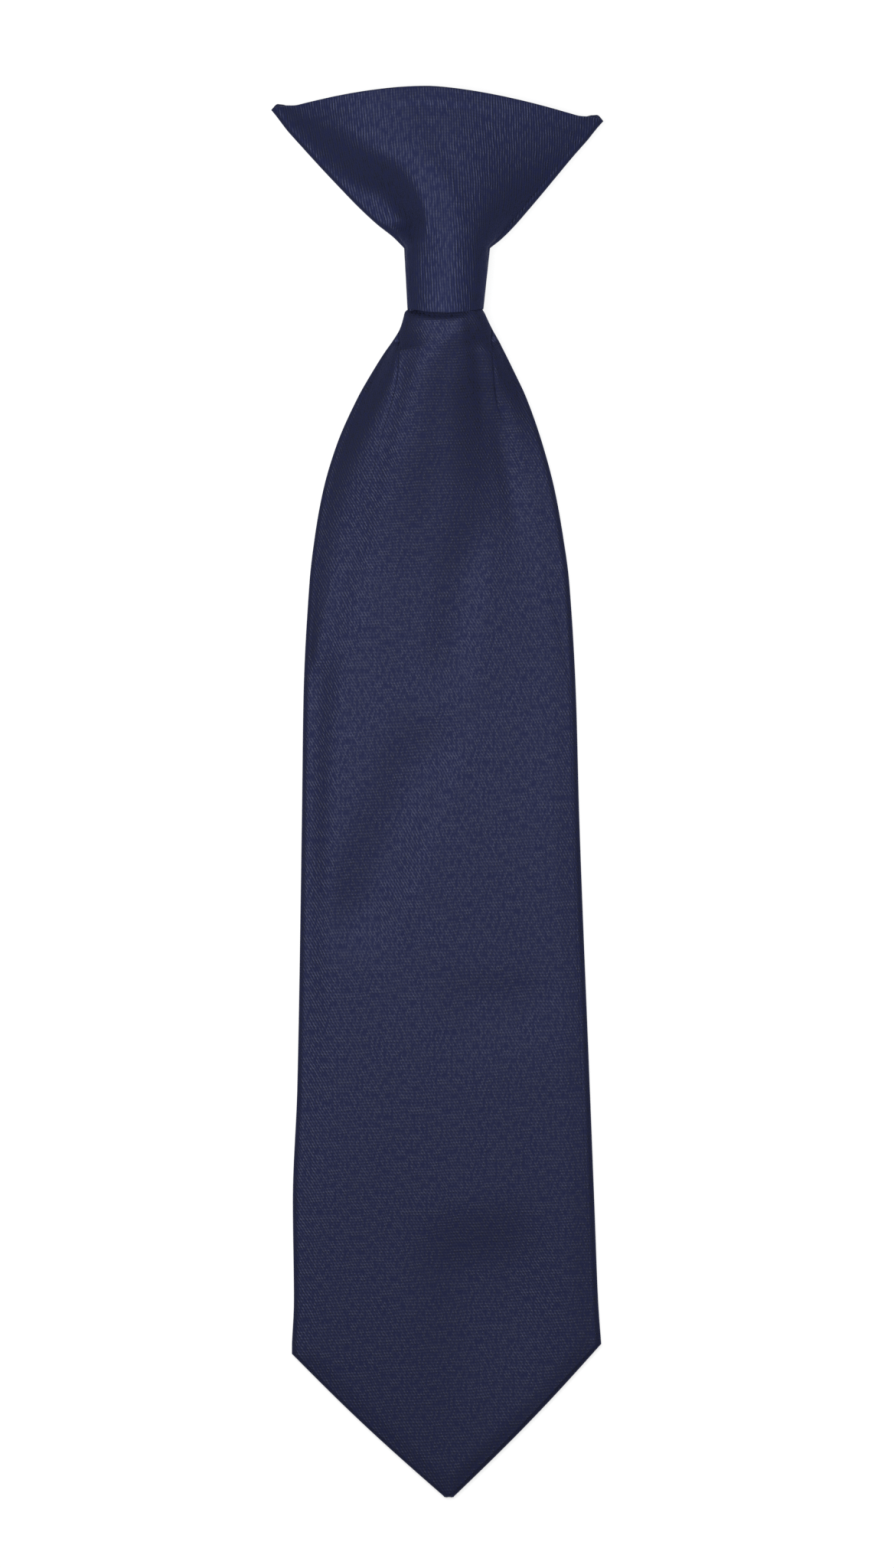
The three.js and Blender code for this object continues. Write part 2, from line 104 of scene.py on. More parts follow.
ARCH_POWER = 3.0  # of a wing's curve from its end to the ridge
HILL_POWER = 1.3  # how much nearer to the end a soft hill is steepest
WING_SPREAD = 0.2  # how far above the waist, in rows, the left wing has its full drop
WING_SLOPE = 0.2  # of the lower part of the left wing

# Blade
BLADE_WIDTH = 78.0
POINT_LENGTH = 38.7
LEFT_CORNER_DROP = 2.5
POINT_BULGE = 0.9
TIP_WIDTH = 2.0
TIP_SHIFT = 0.9
TIP_ROUNDING = 1.2
TIP_FOLD = 0.75  # radius of the fold at the very tip
SEAM_GAP = 0.4
HEM = 9.0
FACING_LENGTH = 46.0
NECK_INSET = 1.2  # from the band's outside to the neck's
PLEAT_POWER = 8.0
PLEAT_LEVEL = 0.3  # share of the way from the ridge to a crease
FOOT_DIP = 1.7  # how deep the neck lies where it leaves the band
FOOT_DIP_LENGTH = 1.7
FOOT_DIP_SIDE = 2.0  # distance from the neck's sides in which it reaches its depth
FOOT_DIP_PLACE = 1.0  # the place across from which it runs out to the right
FOOT_DIP_FADE = 7.0
GUTTER_DEPTH = 0.12  # of the dark line beside the middle pleat
GUTTER_WIDTH = 0.8  # in which it rises again
GUTTER_FLOOR = 0.4  # share of that width in which it stays at its depth first
FULL_SHELF = 4.0  # the height of a shelf whose gutter has its full depth
LEAST_PANEL = 1.2  # width from which the panel beside the pleat lies on a shelf
PANEL_POWER = 1.7  # of the fall from the pleat to the fold
PUFF = 0.4  # how far the face swells between its folds
PUFF_WIDTH = 7.0

# Stitches
THREAD = 0.18  # radius
STITCH_STEP = 7.0
STITCH_LEAN = 0.5
STITCH_BEND = 0.1
STITCH_HEIGHT = 2.2  # over the back's face, in threads' radii
STITCH_REACH = 0.4  # share of the turned edge's radius that a stitch goes over
SEAM_END = 0.1  # share of the blade's length without stitches under the band
TACK_THREADS = 4  # of the bar tack where the flaps part
TACK_STEP = 2.2  # in threads' radii
TACK_START = 0.2
TACK_REACH = 2.4
TACK_END = 0.4  # length of the ends that go into the cloth
TACK_RISE = 0.3

knot_back = knot_low[2]
knot_depth = knot_high[2] - knot_back
blade_top_y = knot_low[1]
foot_y = blade_top_y + FOOT_BOW
waist_y = foot_y + BAND_HEIGHT
left_reach = -knot_low[0]
right_reach = knot_high[0]
tip_y = blade_low[1]
neck_top_y = blade_high[1]
blade_length = blade_top_y - tip_y
right_corner_y = tip_y + POINT_LENGTH
left_corner_y = right_corner_y - LEFT_CORNER_DROP
parting_y = right_corner_y + FACING_LENGTH

# The knot's rows, from the band's foot (up 0) by its waist (1) to the wing tips (2).
# bow: share of the top edge's rise at the row's middle, or below 0 of the foot's bow.
# depth: share of the knot's depth at the ridge.
# round: 1 has the band's round sides, and 0 a pressed fold.
# ridge: place of the ridge, as a share of the half width.
KNOT_COLUMNS = ("up", "bow", "depth", "round", "ridge")
KNOT_ROWS = (
    (0.0, -1.0, 0.98, 1.0, 0.0),
    (0.5, -0.5, 1.0, 0.95, 0.0),
    (0.8, -0.15, 1.0, 0.8, 0.0),
    (1.0, 0.05, 1.0, 0.6, -0.02),
    (1.04, 0.07, 1.0, 0.45, -0.02),
    (1.09, 0.11, 1.0, 0.25, -0.03),
    (1.18, 0.2, 0.995, 0.05, -0.04),
    (1.3, 0.3, 0.985, 0.0, -0.06),
    (1.45, 0.46, 0.97, 0.0, -0.1),
    (1.6, 0.6, 0.955, 0.0, -0.14),
    (1.75, 0.74, 0.935, 0.0, -0.17),
    (1.9, 0.9, 0.915, 0.0, -0.2),
    (2.0, 1.0, 0.9, 0.0, -0.22),
)

# The knot's two sides, in the same rows.
# reach: share of the wing's reach beyond the waist.
# sharp: 1 stands the column up like a tube's side, 0.5 like an arch and 0 like a soft hill.
SIDE_COLUMNS = ("up", "reach", "sharp")
LEFT_ROWS = (
    (1.0, 0.0, 1.0),
    (1.08, 0.079, 0.85),
    (1.18, 0.206, 0.65),
    (1.3, 0.338, 0.5),
    (1.45, 0.486, 0.45),
    (1.6, 0.63, 0.45),
    (1.75, 0.769, 0.42),
    (1.9, 0.907, 0.38),
    (2.0, 1.0, 0.35),
)
RIGHT_ROWS = (
    (1.0, 0.0, 1.0),
    (1.08, 0.107, 0.72),
    (1.18, 0.215, 0.48),
    (1.3, 0.33, 0.42),
    (1.45, 0.469, 0.38),
    (1.6, 0.605, 0.36),
    (1.75, 0.742, 0.35),
    (1.9, 0.89, 0.35),
    (2.0, 1.0, 0.35),
)

# The valley where the left wing drops from the column.
# along: place on the diagonal from the upper left to the lower right, through the knot's middle.
# across: how far the valley lies right of and above that diagonal.
VALLEY_COLUMNS = ("along", "across", "half_width")
VALLEY_ROWS = (
    (-42.0, -21.5, 3.0),
    (-32.5, -19.0, 5.0),
    (-21.8, -16.8, 7.5),
    (-14.0, -14.2, 7.5),
    (-7.0, -11.4, 5.8),
    (-0.2, -12.8, 4.8),
    (3.9, -14.8, 4.3),
    (6.9, -17.2, 4.0),
    (12.0, -23.0, 4.0),
)

# The crest that runs up the blade and the band and over to the left: at each place along, its place across,
# its height and its half width.
CREST_COLUMNS = ("y", "x", "height", "width")
CREST_ROWS = (
    (-185.0, -30.0, 0.0, 14.0),
    (-130.0, -21.0, 0.3, 14.0),
    (-85.0, -13.2, 0.6, 12.0),
    (-68.0, -8.7, 0.75, 9.5),
    (-58.0, -6.8, 0.75, 8.5),
    (-50.4, -5.0, 0.6, 7.5),
    (-42.7, 0.0, 0.45, 6.5),
    (-38.5, 3.5, 0.3, 6.0),
    (-34.0, 0.4, 0.25, 6.0),
    (-18.0, 0.9, 0.4, 6.0),
    (-9.3, 1.2, 0.45, 6.0),
    (-3.5, -1.0, 0.45, 6.5),
    (4.8, -6.2, 0.4, 6.5),
    (16.4, -10.6, 0.3, 6.5),
    (22.0, -12.5, 0.2, 6.5),
)

# The blade's outline, from the band's foot (down 0) to the tip (1), as shares of half its width.
OUTLINE_COLUMNS = ("down", "left", "right")
OUTLINE_ROWS = (
    (-0.0044, 0.24, 0.235),
    (-0.0015, 0.262, 0.25),
    (0.0026, 0.27, 0.265),
    (0.0123, 0.294, 0.301),
    (0.0213, 0.336, 0.341),
    (0.0311, 0.39, 0.38),
    (0.0505, 0.484, 0.454),
    (0.0699, 0.568, 0.523),
    (0.1087, 0.701, 0.627),
    (0.1475, 0.79, 0.706),
    (0.1863, 0.844, 0.76),
    (0.2251, 0.879, 0.8),
    (0.3222, 0.918, 0.844),
    (0.4193, 0.928, 0.864),
    (0.6522, 0.958, 0.933),
    (0.7492, 0.987, 0.962),
    (0.8333, 0.98, 0.987),
    (0.8702, 0.993, 1.007),
)

# The blade's relief.
# back: share of the neck's height off the table.
# top: share of the neck's depth from the back to the ridge.
# ridge: its place, as a share of the half width.
# crease_left, crease_right: the edges of the middle pleat, as shares of half the blade's width.
# shelf_left, shelf_right: share of the rise from the folds to the ridge at which those edges lie.
# step_left, step_right: share of the rest of that rise that the pleat stands up there.
# round: 1 has the neck's round sides, and 0 a pressed fold.
RELIEF_COLUMNS = (
    "down", "back", "top", "ridge", "crease_left", "crease_right", "shelf_left", "shelf_right",
    "step_left", "step_right", "round",
)
RELIEF_ROWS = (
    (-0.0044, 1.0, 0.99, 0.1, 0.3, 0.3, 0.0, 0.0, 1.0, 1.0, 1.0),
    (0.0026, 0.99, 0.99, 0.2, 0.3, 0.3, 0.05, 0.05, 0.9, 0.9, 0.97),
    (0.0123, 0.94, 0.985, 0.1, 0.298, 0.296, 0.3, 0.3, 0.5, 0.5, 0.85),
    (0.0213, 0.88, 0.98, 0.0, 0.298, 0.296, 0.5, 0.45, 0.25, 0.25, 0.6),
    (0.0311, 0.82, 0.96, -0.1, 0.301, 0.301, 0.68, 0.5, 0.15, 0.2, 0.35),
    (0.0505, 0.7, 0.93, -0.2, 0.306, 0.31, 0.8, 0.48, 0.1, 0.15, 0.1),
    (0.0699, 0.59, 0.88, -0.25, 0.335, 0.325, 0.86, 0.36, 0.08, 0.1, 0.0),
    (0.1087, 0.43, 0.78, -0.3, 0.42, 0.42, 0.88, 0.1, 0.0, 0.0, 0.0),
    (0.1475, 0.29, 0.67, -0.34, 0.49, 0.5, 0.85, 0.0, 0.0, 0.0, 0.0),
    (0.1863, 0.17, 0.58, -0.4, 0.58, 0.58, 0.75, 0.0, 0.0, 0.0, 0.0),
    (0.2251, 0.09, 0.52, -0.46, 0.7, 0.66, 0.65, 0.0, 0.0, 0.05, 0.0),
    (0.3222, 0.0, 0.46, -0.6, 0.85, 0.8, 0.5, 0.0, 0.0, 0.1, 0.0),
    (0.4193, 0.0, 0.43, -0.65, 0.88, 0.82, 0.4, 0.0, 0.0, 0.1, 0.0),
    (0.6522, 0.0, 0.37, -0.6, 0.92, 0.88, 0.4, 0.0, 0.0, 0.2, 0.0),
    (0.8333, 0.0, 0.33, -0.2, 0.94, 0.93, 0.4, 0.0, 0.0, 0.3, 0.0),
    (1.0, 0.0, 0.32, 0.0, 0.94, 0.93, 0.4, 0.0, 0.0, 0.3, 0.0),
)

# Soft creases in the blade's face, by pixels of the photograph: from, to, half width on the left on the way
# there, how many times as wide on the right, and depth.
CREASES = (
    ((618, 440), (626, 500), 3.0, 1.0, 0.3),
    ((655, 560), (668, 640), 4.0, 1.0, 0.3),
    ((606, 750), (596, 840), 7.0, 1.5, 0.8),
    ((553, 1000), (484, 1180), 9.5, 1.5, 1.2),
    ((612, 1668), (650, 1662), 20.0, 2.2, 1.3),
    ((640, 1310), (662, 1310), 10.0, 2.0, 0.5),
)
CREASE_END = 18.0  # how far a crease runs out beyond its ends

# How fine the meshes are: points in each stretch of a section, and distances between the rows
FOLD_STEPS = 10
TURN_STEPS = 6
INSIDE_STEPS = 3
BLADE_BACK_STEPS = 10
KNOT_BACK_STEPS = 24
SHELF_STEPS = 20  # from a fold to its crease
RISE_STEPS = 40  # from a crease to the ridge
CLOSER = 0.6  # how much closer together the points lie by a crease: 0 spaces them evenly
LEAST_SHELF = 0.8  # where there is no shelf, the points lie closest this far from the fold
TIP_ROWS = 0.3  # the blade's rows, from the tip up
POINT_ROWS = 1.0
PANEL_ROWS = 2.2
GATHERED_ROWS = 0.8
FOOT_ROWS = 0.25
NECK_ROWS = 1.5
GATHERED = 0.25  # share of the blade's length that the gathered rows take
BELOW_FOOT = 0.05  # from the ends of the band's foot to the nearest rows
ABOVE_FOOT = 0.4
BAND_ROWS = 0.04  # the knot's rows, as shares of the band's height and of the wings' rise
WAIST_ROWS = 0.012
WING_ROWS = 0.014
WAIST_END = 1.3  # the row at which the wings' rows start


def lerp(a, b, t):
    return a + (b - a) * t


def clamp(x, low, high):
    return max(low, min(high, x))


def smooth(t):
    t = clamp(t, 0.0, 1.0)
    return t * t * (3 - 2 * t)


def bell(t):
    return (1 + math.cos(math.pi * clamp(t, 0.0, 1.0))) / 2


def row_at(columns, table, place):
    """The table's row at a place along its first column, eased from row to row without overshoot."""
    last = len(table) - 1
    place = clamp(place, table[0][0], table[last][0])
    upper = max(1, next(i for i, row in enumerate(table) if row[0] >= place))
    before = table[upper - 1]
    after = table[upper]
    span = after[0] - before[0]
    t = (place - before[0]) / span

    def rate(i, k):
        return (table[i][k] - table[i - 1][k]) / (table[i][0] - table[i - 1][0])

    def tangent(i, k):
        a = rate(max(i, 1), k)
        b = rate(min(i + 1, last), k)
        return 0.0 if a * b <= 0 else 2 * a * b / (a + b)

    row = {columns[0]: place}
    for k, name in enumerate(columns[1:], start=1):
        ends = before[k] * (1 + 2 * t) * (1 - t) ** 2 + after[k] * t * t * (3 - 2 * t)
        pull = tangent(upper - 1, k) * t * (1 - t) ** 2 - tangent(upper, k) * t * t * (1 - t)
        row[name] = ends + pull * span
    return row


def spaced(start, end, step):
    count = max(1, round(abs(end - start) / step))
    return [lerp(start, end, i / count) for i in range(count + 1)]


def over_photo(pixel):
    """The place over the tie that a pixel of the photograph shows."""
    return (pixel[0] - ORIGIN_PIXEL[0]) * PHOTO_SCALE, (ORIGIN_PIXEL[1] - pixel[1]) * PHOTO_SCALE


# Sections across a folded cloth: points (x, z, face), where face is 1 on its front and 0 on its back


def side_of(way, edge, back, fold, roundness, crease, shelf, sharp):
    """One side of a section, the left where way is -1: its fold, and where its front starts."""
    turned = math.radians(lerp(180, 90, roundness))
    start = edge - way * fold * (1 - math.sin(turned))
    base = back + fold * (1 - math.cos(turned))
    return {
        "way": way,
        "centre": (edge - way * fold, back + fold),
        "fold": fold,
        "turned": turned,
        "start": start,
        "base": base,
        "crease": start if way * (crease - start) > 0 else crease,
        "shelf": shelf,
        "sharp": sharp,
    }


def column_rise(t, sharp):
    """From 1 at the ridge to 0 at the crease, like a soft hill, an arch or a tube's side."""
    arch = 1 - t**ARCH_POWER
    if sharp > 0.5:
        return lerp(arch, (1 - t**COLUMN_POWER) ** (1 / COLUMN_POWER), 2 * sharp - 1)
    return lerp(bell(t**HILL_POWER), arch, 2 * sharp)


def pleat_rise(t, step):
    """From 1 at the ridge to 0 at the crease, level at first, and at the end a step of a share of it."""
    slope = bell((t - PLEAT_LEVEL) / (1 - PLEAT_LEVEL))
    return lerp(slope, (1 - t**PLEAT_POWER) ** (1 / PLEAT_POWER), step)


def front_between(sides, ridge, top, rise):
    """The height of the front: from each side's fold a shelf, and from its crease a rise to the ridge."""

    def front(x):
        side = sides[0] if x < ridge else sides[1]
        beyond = side["way"] * (x - side["crease"])
        width = max(side["way"] * (side["start"] - side["crease"]), LEAST_PANEL)
        low = side["base"] + side["shelf"] * smooth(width / LEAST_PANEL - 1)
        if beyond > 0:
            gutter = GUTTER_DEPTH * smooth(side["shelf"] / FULL_SHELF)
            fall = lerp(low, side["base"], clamp(beyond / width, 0, 1) ** PANEL_POWER)
            return fall - gutter * bell(beyond / GUTTER_WIDTH - GUTTER_FLOOR)
        t = clamp((x - ridge) / (side["crease"] - ridge), 0, 1)
        return low + (top - low) * rise(t, side["sharp"])

    return front


def fold_points(side):
    """The points of a side's fold from the back to its front, both ends left out."""
    points = []
    for i in range(1, FOLD_STEPS):
        angle = side["turned"] * i / FOLD_STEPS
        x = side["centre"][0] + side["way"] * side["fold"] * math.sin(angle)
        z = side["centre"][1] - side["fold"] * math.cos(angle)
        points.append((x, z, i / FOLD_STEPS))
    return points


def front_points(sides, ridge, front):
    """The front's points, closest together by the creases."""
    bends = []
    for side in sides:
        inside = side["start"] - side["way"] * min(LEAST_SHELF, abs(side["start"] - ridge) / 3)
        bends.append(inside if side["way"] * (side["crease"] - inside) > 0 else side["crease"])
    left, right = sides[0]["start"], sides[1]["start"]
    places = [lerp(bends[0], left, closer(1 - i / SHELF_STEPS)) for i in range(SHELF_STEPS)]
    places += [lerp(bends[0], ridge, closer(i / RISE_STEPS)) for i in range(RISE_STEPS)]
    places += [lerp(bends[1], ridge, closer(1 - i / RISE_STEPS)) for i in range(RISE_STEPS)]
    places += [lerp(bends[1], right, closer(i / SHELF_STEPS)) for i in range(SHELF_STEPS + 1)]
    return [(x, front(x), 1.0) for x in places]


def closer(t):
    return t * lerp(1, t, CLOSER)


def straight(start, end, z, steps):
    return [(lerp(start, end, i / steps), z, 0.0) for i in range(steps + 1)]


def tube_section(sides, ridge, front, back):
    """A closed section, from the middle of its back round by the left."""
    left, right = sides
    middle = (left["centre"][0] + right["centre"][0]) / 2
    points = straight(middle, left["centre"][0], back, KNOT_BACK_STEPS)
    points += fold_points(left) + front_points(sides, ridge, front) + fold_points(right)[::-1]
    return points + straight(right["centre"][0], middle, back, KNOT_BACK_STEPS)[:-1]


def turned_edge(x, way, back, turn):
    """The rounding of a turned-in edge, from the inside to the back."""
    points = []
    for i in range(1, TURN_STEPS):
        angle = math.pi * i / TURN_STEPS
        points.append((x + way * turn * math.sin(angle), back + turn + turn * math.cos(angle), 0.0))
    return points


def flap_section(sides, ridge, front, back, half_seam):
    """An open section, from one flap's turned-in edge by the seam in the back to the other's."""
    left, right = sides
    first, last = left["centre"][0], right["centre"][0]
    middle = (first + last) / 2
    turn = min(TURN, WIDEST_TURN * left["fold"])
    half_seam = min(half_seam, WIDEST_PARTING * (last - first))
    left_edge = middle - half_seam - turn
    right_edge = middle + half_seam + turn
    depth = min(TURN_DEPTH, (left_edge - first) / 2)
    inside = back + 2 * turn
    points = straight(left_edge - depth, left_edge, inside, INSIDE_STEPS)
    points += turned_edge(left_edge, 1, back, turn)
    points += straight(left_edge, first, back, BLADE_BACK_STEPS) + fold_points(left)
    points += front_points(sides, ridge, front)
    points += fold_points(right)[::-1] + straight(last, right_edge, back, BLADE_BACK_STEPS)
    points += turned_edge(right_edge, -1, back, turn)[::-1]
    return points + straight(right_edge, right_edge + depth, inside, INSIDE_STEPS)


# Cloths: meshes through rows of points, with the flat cloth's metres as their UV map


def thicken(piece, thickness):
    """Thickens the cloth inwards and rounds its edges, all within its foot and over the table."""
    foot = min(vertex.co.y for vertex in piece.data.vertices)
    solidify = piece.modifiers.new("thickness", "SOLIDIFY")
    solidify.thickness = thickness * MM
    solidify.offset = -1
    bevel = piece.modifiers.new("rounding", "BEVEL")
    bevel.width = EDGE_ROUNDING * MM
    bevel.segments = ROUNDING_STEPS
    bevel.limit_method = "ANGLE"
    bevel.angle_limit = math.radians(SHARP_EDGE)
    bpy.context.view_layer.update()
    shaped = piece.evaluated_get(bpy.context.evaluated_depsgraph_get())
    piece.data = bpy.data.meshes.new_from_object(shaped)
    piece.modifiers.clear()
    for vertex in piece.data.vertices:
        vertex.co.y = max(vertex.co.y, foot)
        vertex.co.z = max(vertex.co.z, 0.0)


def across_lengths(row, start, closed):
    """How far along the cloth each point of a row is from where its front passes over x = 0."""
    lengths = [0.0]
    for i in range(1, len(row) + closed):
        lengths.append(lengths[-1] + math.dist(row[i - 1], row[i % len(row)]))
    middle = next(i for i in range(start, len(row)) if row[i][0] >= 0)
    over = row[middle][0] / (row[middle][0] - row[middle - 1][0])
    shift = lerp(lengths[middle], lengths[middle - 1], over)
    return [length - shift for length in lengths]


def cloth(name, rows, start, closed, thickness):
    """A cloth through rows of points from the foot up. start is the first point of each row's front."""
    count = len(rows[0])
    vertices = [[value * MM for value in point] for row in rows for point in row]
    across = [across_lengths(row, start, closed) for row in rows]
    along = [0.0]
    for below, above in zip(rows, rows[1:]):
        along.append(along[-1] + math.dist(below[count // 2], above[count // 2]))
    faces = []
    flat = []
    for j in range(len(rows) - 1):
        for i in range(count - 1 + closed):
            corners = ((j, i), (j, i + 1), (j + 1, i + 1), (j + 1, i))
            faces.append([row * count + column % count for row, column in corners])
            flat += [(across[row][column] * MM, along[row] * MM) for row, column in corners]
    mesh = bpy.data.meshes.new(name)
    mesh.from_pydata(vertices, [], faces)
    mesh.uv_layers.new(name="cloth").data.foreach_set("uv", [value for place in flat for value in place])
    piece = bpy.data.objects.new(name, mesh)
    bpy.context.collection.objects.link(piece)
    thicken(piece, thickness)
    piece.data.polygons.foreach_set("use_smooth", [True] * len(piece.data.polygons))
    return piece


# Knot


def wing_edge(up, way, reach_share):
    """Where a row of the knot ends, on the left where way is -1."""
    waist_x = WAIST_SHIFT + way * BAND_TOP_WIDTH / 2
    if up <= 1:
        return lerp(way * BAND_FOOT_WIDTH / 2, waist_x, up), foot_y + up * BAND_HEIGHT
    reach, rise = (left_reach, LEFT_WING_RISE) if way < 0 else (right_reach, RIGHT_WING_RISE)
    return lerp(waist_x, way * reach, reach_share), waist_y + rise * (up - 1)


def crown(across):
    away = CROWN_PLACE if across < CROWN_PLACE else 1 - CROWN_PLACE
    return 1 - (abs(across - CROWN_PLACE) / away) ** CROWN_POWER


def knot_profile(up):
    """A row of the knot: its table row, its two edges, its sides, and the place and height of its ridge."""
    row = row_at(KNOT_COLUMNS, KNOT_ROWS, up)
    fold = lerp(FLAT_FOLD, BAND_ROUNDING, row["round"] ** 2)
    edges = []
    sides = []
    for way, table in ((-1, LEFT_ROWS), (1, RIGHT_ROWS)):
        place = row_at(SIDE_COLUMNS, table, up)
        edge = wing_edge(up, way, place["reach"])
        edges.append(edge)
        sides.append(
            side_of(way, edge[0], knot_back, fold, row["round"], edge[0], 0.0, place["sharp"])
        )
    ridge = (edges[0][0] + edges[1][0]) / 2 + row["ridge"] * (edges[1][0] - edges[0][0]) / 2
    return row, edges, sides, ridge, knot_back + row["depth"] * knot_depth


def ear(to_edge):
    """How far the corner of the top edge turns up, as a share, by the distance from its end."""
    if to_edge > EAR_TIP:
        return bell((to_edge - EAR_TIP) / (EAR_WIDTH - EAR_TIP))
    return 1 - EAR_DROP * (1 - to_edge / EAR_TIP) ** 2


def knot_row(up):
    """The points of a row of the knot, each with its share of the front."""
    row, (left, right), sides, ridge, top = knot_profile(up)
    column = front_between(sides, ridge, top, column_rise)
    bow = FOOT_BOW if row["bow"] < 0 else CROWN_RISE
    turned_up = smooth((up - EAR_START) / (2 - EAR_START))
    dropped = smooth((up - 1) / WING_SPREAD)

    def along_row(x):
        across = clamp((x - left[0]) / (right[0] - left[0]), 0, 1)
        curve = 1 - (2 * across - 1) ** 2 if row["bow"] < 0 else crown(across)
        return lerp(left[1], right[1], across) + row["bow"] * bow * curve

    def front(x):
        y = along_row(x)
        low = sides[0]["base"] + WING_SLOPE * (x - sides[0]["start"])
        high = column(x) + crest(x, y)
        return lerp(high, min(low, high), dropped * (1 - above_valley(x, y)))

    points = []
    for x, z, face in tube_section(sides, ridge, front, knot_back):
        lift = turned_up * ear(min(x - left[0], right[0] - x)) * (EAR_RISE - EAR_GAPE * face)
        points.append([x, along_row(x) + lift, z, face])
    return points


def above_valley(x, y):
    """1 on the column's side of the left wing's valley, and 0 on the wing's side."""
    row = row_at(VALLEY_COLUMNS, VALLEY_ROWS, (x - y) / math.sqrt(2))
    return smooth(0.5 + ((x + y) / math.sqrt(2) - row["across"]) / (2 * row["half_width"]))


def crest(x, y):
    row = row_at(CREST_COLUMNS, CREST_ROWS, y)
    return row["height"] * bell(abs(x - row["x"]) / row["width"])


def ripple(x, y, kind):
    across, along, start = kind
    return noise.noise(Vector((x / across, y / along, start)))


def knot_cover():
    ups = spaced(0, 1, BAND_ROWS)
    ups += spaced(1, WAIST_END, WAIST_ROWS)[1:]
    ups += spaced(WAIST_END, 2, WING_ROWS)[1:]
    rows = [knot_row(up) for up in ups]
    top = rows[-1]
    for row in rows:
        for point, edge in zip(row, top):
            in_hem = smooth((KNOT_HEM - (edge[1] - point[1])) / HEM_BLUR + 0.5)
            wave = ripple(point[0], point[1], KNOT_RIPPLES)
            free = smooth((edge[1] - point[1]) / RIPPLE_START) * smooth((point[1] - foot_y) / RIPPLE_START)
            point[2] += point[3] * (HEM_STEP * in_hem + RIPPLE * free * wave)
    start = KNOT_BACK_STEPS + FOLD_STEPS
    return cloth("knot_cloth", [[point[:3] for point in row] for row in rows], start, True, KNOT_CLOTH)


# Blade


def blade_edge(y, side):
    corner_y = left_corner_y if side < 0 else right_corner_y
    column = "left" if side < 0 else "right"

    def share(at):
        return row_at(OUTLINE_COLUMNS, OUTLINE_ROWS, (blade_top_y - at) / blade_length)[column]

    if y >= corner_y:
        return side * share(y) * BLADE_WIDTH / 2
    t = (corner_y - y) / (corner_y - tip_y)
    tip = TIP_SHIFT + side * TIP_WIDTH / 2
    bulge = POINT_BULGE * math.sin(math.pi * t)
    return lerp(side * share(corner_y) * BLADE_WIDTH / 2, tip, t) + side * bulge


def neck_profile(y):
    """The sides, ridge, height of the front and back of the neck, which fills the inside of the band."""
    _, edges, _, ridge, top = knot_profile(clamp((y - foot_y) / BAND_HEIGHT, 0, 1))
    fold = BAND_ROUNDING - NECK_INSET
    back = knot_back + NECK_INSET
    sides = []
    for way, edge in zip((-1, 1), edges):
        x = edge[0] - way * NECK_INSET
        sides.append(side_of(way, x, back, fold, 1.0, x, 0.0, 1.0))
    return sides, ridge, front_between(sides, ridge, top - NECK_INSET, column_rise), back


def open_profile(y):
    """The same below the band, where the ridge drifts to the left on the middle pleat."""
    row = row_at(RELIEF_COLUMNS, RELIEF_ROWS, (blade_top_y - y) / blade_length)
    left = blade_edge(y, -1)
    right = blade_edge(y, 1)
    width = right - left
    closing = clamp((y - tip_y) / TIP_ROUNDING, 0, 1)
    full = lerp(FLAT_FOLD, BAND_ROUNDING - NECK_INSET, row["round"] ** 2)
    fold = lerp(TIP_FOLD, min(full, WIDEST_FOLD * width), math.sqrt(closing * (2 - closing)))
    back = row["back"] * (knot_back + NECK_INSET)
    ridge = (left + right) / 2 + row["ridge"] * width / 2
    top = back + (knot_depth - 2 * NECK_INSET) * row["top"] * fold / full
    sides = []
    for way, edge, name in ((-1, left, "left"), (1, right, "right")):
        crease = way * row["crease_" + name] * BLADE_WIDTH / 2
        shelf = row["shelf_" + name] * (top - back - 2 * fold)
        sides.append(side_of(way, edge, back, fold, row["round"], crease, shelf, row["step_" + name]))

    def rise(t, step):
        return lerp(pleat_rise(t, step), column_rise(t, 1.0), row["round"])

    raised = front_between(sides, ridge, top, rise)
    return sides, ridge, lambda x: raised(x) + relief(x, y, left, right), back


def relief(x, y, left, right):
    """The soft unevenness of the face: its swell between the folds, its ripples, crest and creases."""
    share = smooth(min(x - left, right - x, y - tip_y) / PUFF_WIDTH)
    height = PUFF * share
    height += RIPPLE * share * ripple(x, y, BLADE_RIPPLES)
    height += share * crest(x, y)
    for start, end, half_width, lean, depth in CREASES:
        height -= depth * share * groove(x, y, over_photo(start), over_photo(end), half_width, lean)
    return height


def groove(x, y, start, end, half_width, lean):
    """1 on the line between two places, easing to 0 past its ends and beside it, slower on the right."""
    run_x = end[0] - start[0]
    run_y = end[1] - start[1]
    length = math.hypot(run_x, run_y)
    along = ((x - start[0]) * run_x + (y - start[1]) * run_y) / length
    aside = ((x - start[0]) * run_y - (y - start[1]) * run_x) / length
    aside = aside / lean if aside > 0 else -aside
    beyond = max(-along, along - length, 0)
    return bell(aside / half_width) * bell(beyond / CREASE_END)


def blade_row(y):
    sides, ridge, front, back = neck_profile(y) if y > foot_y else open_profile(y)
    half_width = (sides[1]["centre"][0] - sides[0]["centre"][0]) / 2
    parted = clamp((parting_y - y) / FACING_LENGTH, 0, 1)
    half_seam = max(SEAM_GAP / 2, min(parted * BLADE_WIDTH / 2, half_width - HEM))

    def dipped(x):
        return front(x) - foot_dip(x, y, sides)

    return [(x, y, z) for x, z, _ in flap_section(sides, ridge, dipped, back, half_seam)]


